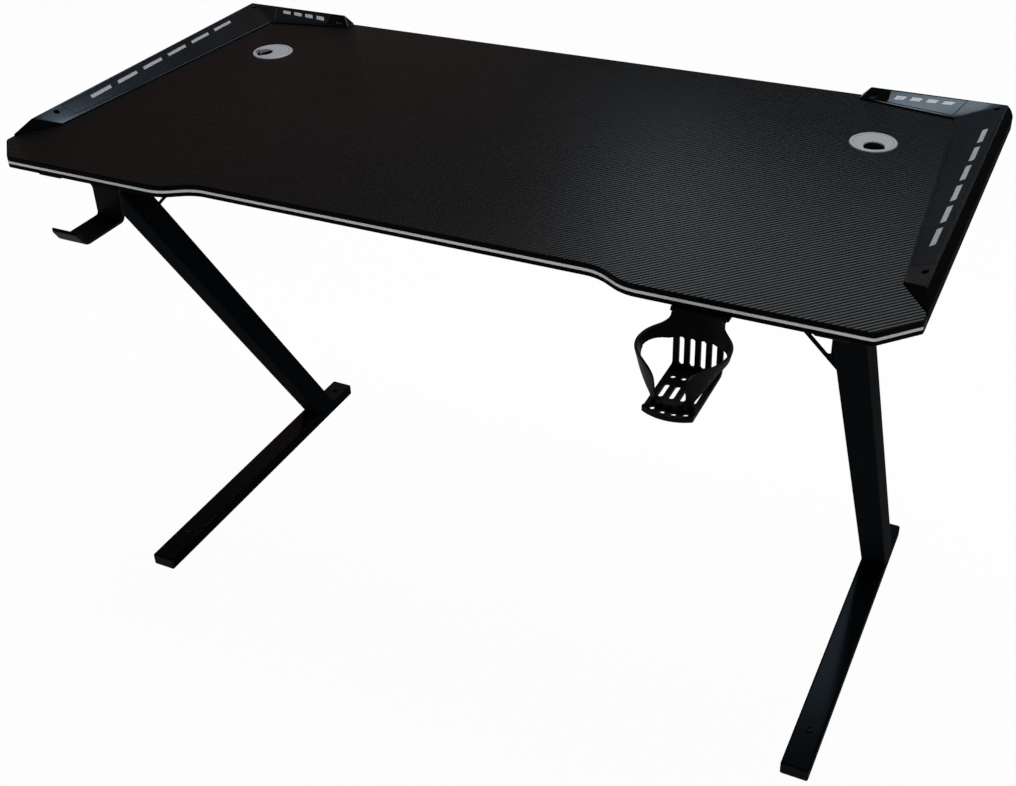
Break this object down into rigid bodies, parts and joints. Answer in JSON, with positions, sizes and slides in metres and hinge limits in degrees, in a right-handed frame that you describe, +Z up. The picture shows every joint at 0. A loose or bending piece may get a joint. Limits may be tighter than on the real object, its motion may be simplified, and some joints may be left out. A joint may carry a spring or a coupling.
{
  "type": "gaming desk",
  "caption": "Gaming desk with a waisted carbon-look top, raised corner wings with light windows, cable grommets, headset hook, cup holder and slanted steel legs.",
  "frame": {"origin": "centre of the whole desk's outline at floor level", "axes": "+X to the sitter's right, +Y away from the sitter, +Z up"},
  "size_m": [1.2, 0.712, 0.755],
  "materials": {
    "board": "raw particle board",
    "carbon_film": "embossed twill film",
    "edge_plastic": "satin",
    "stripe": "satin",
    "wing_plastic": "satin moulded",
    "light_window": "frosted",
    "lamp_strip": "coated circuit strip",
    "grommet_plastic": "fine grain",
    "frame_steel": "black powder coat",
    "cap_plastic": "fine grain",
    "pad_rubber": "matt",
    "fastener_steel": "zinc plated",
    "accessory_plastic": "fine grain",
    "button_rubber": "matt"
  },
  "bodies": {
    "desk": {"beam_bolts": "fastener_steel", "controller_screws": "fastener_steel", "cup_holder": "accessory_plastic", "cup_holder_screws": "fastener_steel", "edge_stripe": "stripe", "floor_pads": "pad_rubber", "foot_end_caps": "cap_plastic", "front_crossbeam": "frame_steel", "front_edge_moulding": "edge_plastic", "headset_hook": "accessory_plastic", "hook_screws": "fastener_steel", "left_back_light_plate": "wing_plastic", "left_brace": "frame_steel", "left_column": "frame_steel", "left_foot": "frame_steel", "left_grommet_sleeve": "grommet_plastic", "left_light_strips": "lamp_strip", "left_light_windows": "light_window", "left_side_light_plate": "wing_plastic", "left_top_rail": "frame_steel", "left_wing_cover": "wing_plastic", "light_controller": "accessory_plastic", "pad_bolts": "fastener_steel", "rail_bolts": "fastener_steel", "rail_end_caps": "cap_plastic", "rear_crossbeam": "frame_steel", "rear_edge_strip": "edge_plastic", "right_back_light_plate": "wing_plastic", "right_brace": "frame_steel", "right_column": "frame_steel", "right_foot": "frame_steel", "right_grommet_sleeve": "grommet_plastic", "right_light_strips": "lamp_strip", "right_light_windows": "light_window", "right_side_light_plate": "wing_plastic", "right_top_rail": "frame_steel", "right_wing_cover": "wing_plastic", "table_top": "board", "top_film": "carbon_film", "wing_screws": "fastener_steel"},
    "left_cap": {"left_grommet_cap": "grommet_plastic"},
    "right_cap": {"right_grommet_cap": "grommet_plastic"},
    "button": {"controller_button": "button_rubber"}
  },
  "joints": [
    {"name": "left_cap_turn", "type": "hinge", "parent": "desk", "child": "left_cap", "pos_m": [-0.453, 0.194, 0.74], "axis": [0, 0, 1], "continuous": true},
    {"name": "right_cap_turn", "type": "hinge", "parent": "desk", "child": "right_cap", "pos_m": [0.453, 0.194, 0.74], "axis": [0, 0, 1], "continuous": true},
    {"name": "button_press", "type": "slide", "parent": "desk", "child": "button", "axis": [0, 1, 0], "range_m": [0, 0.0012], "stiffness_N_per_m": 400}
  ]
}
